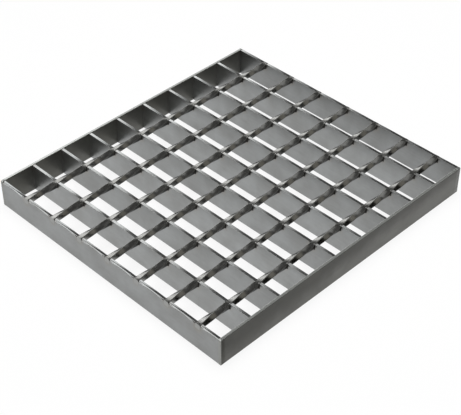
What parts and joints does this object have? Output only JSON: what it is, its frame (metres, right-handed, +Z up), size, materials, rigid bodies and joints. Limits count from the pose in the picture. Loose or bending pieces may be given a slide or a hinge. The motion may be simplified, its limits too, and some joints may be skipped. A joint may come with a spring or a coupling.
{
  "type": "steel grating panel",
  "caption": "Welded steel bar grating panel: flat bearing bars on edge, twisted square cross rods and a flat band closing each end, for floors, steps and drain covers.",
  "frame": {"origin": "centre of the underside", "axes": "+X along the bearing bars, towards the front end band; +Y along the cross rods; +Z up, out of the walking surface"},
  "size_m": [0.3, 0.327, 0.0309],
  "materials": {
    "steel": "plain rolled steel, satin, ungalvanised look, clean"
  },
  "bodies": {
    "root": {"bearing_grid": "steel", "band_back": "steel", "band_front": "steel"}
  },
  "joints": []
}
